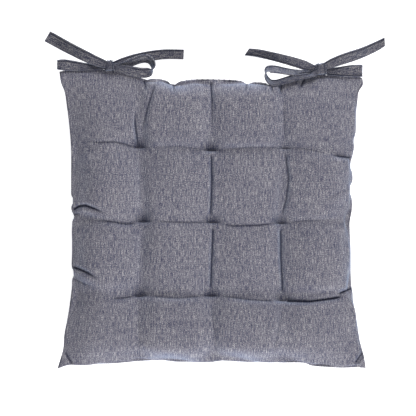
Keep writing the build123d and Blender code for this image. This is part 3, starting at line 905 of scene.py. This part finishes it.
def distance_to(route, x, y):
    """Distance of each point from a bent line, and the share of the line's length there."""
    route = np.array(route, dtype=float)
    lengths = np.linalg.norm(np.diff(route, axis=0), axis=1)
    runs = run_along(route)
    best, share = np.full(x.shape, 1e9), np.zeros(x.shape)
    for start, end, run, length in zip(route[:-1], route[1:], runs, lengths):
        step = (end - start) / length
        along = np.clip((x - start[0]) * step[0] + (y - start[1]) * step[1], 0, length)
        away = np.hypot(x - start[0] - along * step[0], y - start[1] - along * step[1])
        nearer = away < best
        best = np.where(nearer, away, best)
        share = np.where(nearer, (run + along) / runs[-1], share)
    return best, share


def fold_line(height, x, y, depth, width, fade_in, fade_out, *route):
    """A crease pressed into the height: sharp at its line, with a swell on each side."""
    away, share = distance_to(route, x, y)
    strength = depth * smooth_step(share, -0.01, fade_in) * smooth_step(1.01 - share, 0, fade_out)
    sharp = np.exp(-away / width)
    swell = 0.3 * bell(away - 3.2 * width, 1.6 * width)
    # The second value is the strength of the painted shade along the crease's line.
    return height + strength * (swell - sharp), strength * bell(away, CREASE_LINE)


def smoothed_corners(grid, cut):
    """The simulated panel with the diagonal creases of its corner cells stuffed out."""
    past = np.abs(cut) - CUT_TUFT_PITCH
    edge = CUT_HALF - np.abs(cut).max(axis=-1)
    mask = smooth_step(past.min(axis=-1), *PAST_TUFTS) * smooth_step(edge, *OFF_EDGE)
    out = grid.copy()
    for _ in range(CORNER_SMOOTHING):
        around = np.zeros_like(out)
        beside = out[:-2, 1:-1] + out[2:, 1:-1] + out[1:-1, :-2] + out[1:-1, 2:]
        around[1:-1, 1:-1] = beside / 4 - out[1:-1, 1:-1]
        out += around * mask[..., None]
    return out


def softened(grid, cut):
    """The simulated panel with its small folds relaxed, but not the roll of its edges."""
    margin = CUT_HALF - np.abs(cut)
    edge = margin.min(axis=-1)
    loose = [SOFTENING * smooth_step(margin[..., k], *LOOSE_FROM_EDGE) * (edge > 0.5) for k in (0, 1)]
    out = grid.copy()
    for _ in range(SOFTENING_PASSES):
        sideways, lengthways = np.zeros_like(out), np.zeros_like(out)
        sideways[:, 1:-1] = (out[:, :-2] + out[:, 2:]) / 2 - out[:, 1:-1]
        lengthways[1:-1] = (out[:-2] + out[2:]) / 2 - out[1:-1]
        out += sideways * loose[0][..., None] + lengthways * loose[1][..., None]
    return out


def shaped_cover(grid, cut, side):
    """The panel with its tuft dimples and creases, and how much painted shade darkens each point."""
    x, y = grid[..., 0].copy(), grid[..., 1].copy()
    height = FLATTEN * side * grid[..., 2]
    edge = CUT_HALF - np.abs(cut).max(axis=-1)
    height = limited(height, *(TOP_LIMIT if side > 0 else BOTTOM_LIMIT))
    for k, share, width in EDGE_ROLLS:
        height *= 1 - share * bell(CUT_HALF + cut[..., k], width)
    inside = smooth_step(edge, 0, 12)
    painted_shade = np.zeros_like(height)
    # Broad valleys along the lines of tufts, out to the edge
    for k in (0, 1):
        for line in (-1, 0, 1):
            off = cut[..., k] - line * CUT_TUFT_PITCH
            out = smooth_step(np.abs(cut[..., 1 - k]), CUT_TUFT_PITCH - 10, CUT_TUFT_PITCH + 10)
            deep = VALLEY[0] + (VALLEY[1] - VALLEY[0]) * out
            height -= deep * bell(off, VALLEY_HALF) * smooth_step(edge, 2, 30)
    for row, shades in zip(TUFTS, TUFT_SHADE):
        for (x0, y0), shade in zip(row, shades):
            right, back = x - x0, y - y0
            wide = bell(right, TUFT_HALF)
            dip = wide * np.where(back > 0, np.exp(-back / DIP_BEHIND), np.exp(back / DIP_BEFORE))
            lip = bell(right, LIP_HALF) * bell(back + LIP_BEFORE, LIP_WIDTH)
            height += -TUFT_DIP * dip + TUFT_LIP * lip
            # The cloth behind the stitch sags forward over it.
            grid[..., 1] -= SAG * wide * bell(back - SAG_BEHIND, SAG_WIDTH)
            # Painted shade in the dimple, reaching back behind the stitch.
            dimple_shade = wide * np.where(back > 0, bell(back, DARK_BEHIND), np.exp(back / DARK_BEFORE))
            painted_shade = np.maximum(painted_shade, TUFT_PAINTED_SHADE * shade * dimple_shade)
    if side > 0:
        for crease in CREASES:
            height, strength = fold_line(height, x, y, *crease)
            # Painted shade along each crease's line.
            painted_shade = np.maximum(painted_shade, np.clip(CREASE_PAINTED_SHADE * strength, 0, DARKEST_PAINTED_SHADE))
    for across, along, seed in ((cut[..., 0], cut[..., 1], 0.0), (cut[..., 1], cut[..., 0], 1.7)):
        near = np.exp(-((CUT_HALF - np.abs(along)) / 11)) * inside
        wave = np.sin(across / 5.3 + 2 * np.sin(across / 23 + seed) + seed)
        height += GATHER * near * wave * (0.6 + 0.4 * np.sin(across / 31 + 3 * seed))
    tufted = np.min([np.hypot(x - a, y - b) for row in TUFTS for a, b in row], axis=0)
    lowest = 0.7 * smooth_step(edge, 0, 4) * smooth_step(tufted, 0, 1) + 0.2 * smooth_step(edge, 0, 2)
    height = np.where(edge > 0.5, np.maximum(height, lowest), height)
    grid[..., 2] = side * height
    return grid, painted_shade


def build_cover():
    """The two cover panels, as sewn, stuffed and tufted, and the fibre inside them."""
    lines = grid_lines()
    top, bottom = simulate_pad(lines)
    cut = np.dstack(np.meshgrid(lines, lines))
    top, bottom = (softened(smoothed_corners(grid, cut), cut) for grid in (top, bottom))
    fine_cut = finer(finer(cut, 0), 1)
    finished = []
    for name, side, grid in (("top", 1, top), ("bottom", -1, bottom)):
        fine, painted_shade = shaped_cover(finer(finer(grid, 0), 1), fine_cut, side)
        fine[..., 2] += SEAM_HEIGHT
        faces = grid_faces(*fine.shape[:2], flip=side < 0)
        cover = put(
            f"{name}_cover", (fine.reshape(-1, 3), faces, fine_cut.reshape(-1, 2), painted_shade),
            COVER_CLOTH if side > 0 else UNDERSIDE_CLOTH, "cover_cloth", PAD, f"{name}_panel",
        )
        finished.append(fine)
    build_filling(*finished)
    build_threads(top, finished[0])


def lowest_near(heights, reach):
    """At every FINE-th grid point, the lowest height within reach cells."""
    padded = np.pad(heights, reach, mode="edge")
    size = 2 * reach + 1
    windows = np.lib.stride_tricks.sliding_window_view(padded, (size, size))
    return windows[::FINE, ::FINE].min(axis=(2, 3))


def build_filling(top, bottom):
    """The fibre: the finished cover's inside, a little smaller."""
    upper, lower = top[::FINE, ::FINE].copy(), bottom[::FINE, ::FINE].copy()
    rise = np.maximum(lowest_near(top[..., 2] - SEAM_HEIGHT, 2 * FINE) - FILLING_INSET, 0.05)
    fall = np.maximum(lowest_near(SEAM_HEIGHT - bottom[..., 2], 2 * FINE) - FILLING_INSET, 0.05)
    upper[..., :2] = lower[..., :2] = (upper[..., :2] + lower[..., :2]) / 2
    upper[..., 2], lower[..., 2] = SEAM_HEIGHT + rise, SEAM_HEIGHT - fall
    upper, lower = upper[2:-2, 2:-2], lower[2:-2, 2:-2]
    rows, columns = upper.shape[:2]
    points = np.vstack([upper.reshape(-1, 3), lower.reshape(-1, 3)])
    count = rows * columns
    rim = rim_of(np.arange(count).reshape(rows, columns))
    following = np.roll(rim, -1)
    faces = [
        *grid_faces(rows, columns),
        *grid_faces(rows, columns, start=count, flip=True),
        *np.stack([rim, rim + count, following + count, following], axis=-1),
    ]
    filling = mesh_object("fibre_wadding", points, faces)
    filling.data.materials.append(WADDING)
    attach(filling, PAD)
    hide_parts("fibre_filling")


def build_threads(seam_grid, surface):
    """The sewing thread of the edge seam, the closing stitches and the tuft stitches."""
    ring = rim_of(seam_grid) + (0, 0, SEAM_HEIGHT)
    ahead = unit(np.roll(ring, -1, axis=0) - np.roll(ring, 1, axis=0))
    inward = unit(np.cross((0, 0, 1.0), ahead))
    for kind, side in (("needle", 1), ("bobbin", -1)):
        line = ring + SEAM_THREAD_IN * inward + (0, 0, side * 0.35)
        put(
            f"edge_seam_{kind}_line", tube(line, SEAM_THREAD / 2, closed=True), SEWING_THREAD,
            "sewing_thread", PAD, f"edge_seam_{kind}_thread",
        )

    # The opening that the pad was filled through, whipped shut along the back edge
    back = seam_grid[-1] + (0, 0, SEAM_HEIGHT)
    run = run_along(back)
    start, end = (np.interp(x, back[:, 0], run) for x in CLOSED_BETWEEN)
    turn = np.linspace(-0.8, 0.8, 9) * math.pi
    whips = []
    for at in np.linspace(start, end, CLOSING_STITCHES):
        foot = rows_at(at + WHIP_ALONG * turn / math.pi, run, back)
        foot[:, 1] += WHIP_ACROSS * np.cos(turn) - WHIP_ACROSS / 2
        foot[:, 2] += WHIP_HIGH * np.sin(turn)
        whips.append(tube(foot, SEAM_THREAD / 2, sides=5))
    put(
        "closing_whip_stitches", joined(whips), SEWING_THREAD, "sewing_thread", PAD, "closing_stitches",
    )

    for row_name, row in zip(("front", "middle", "back"), TUFTS):
        for column_name, (x, y) in zip(("left", "centre", "right"), row):
            near = np.hypot(surface[..., 0] - x, surface[..., 1] - y) < 3
            rise = surface[..., 2][near].min() - SEAM_HEIGHT + TUFT_THREAD / 2
            reach = TUFT_STITCH / 2
            loop = [
                (x + a * reach, y + 0.4 * a, SEAM_HEIGHT + b * rise)
                for a, b in ((-0.8, -1), (-1, -0.9), (-1, 0.9), (-0.8, 1), (0, 1.03), (0.8, 1),
                             (1, 0.9), (1, -0.9), (0.8, -1), (0, -1.03))
            ]
            place, stitch = f"{row_name}_{column_name}", tube(loop, TUFT_THREAD / 2, closed=True)
            put(
                f"tuft_thread_{place}", stitch, TUFT_THREAD_FINISH, "tuft_thread", PAD,
                f"tuft_stitch_{place}",
            )


build_cover()
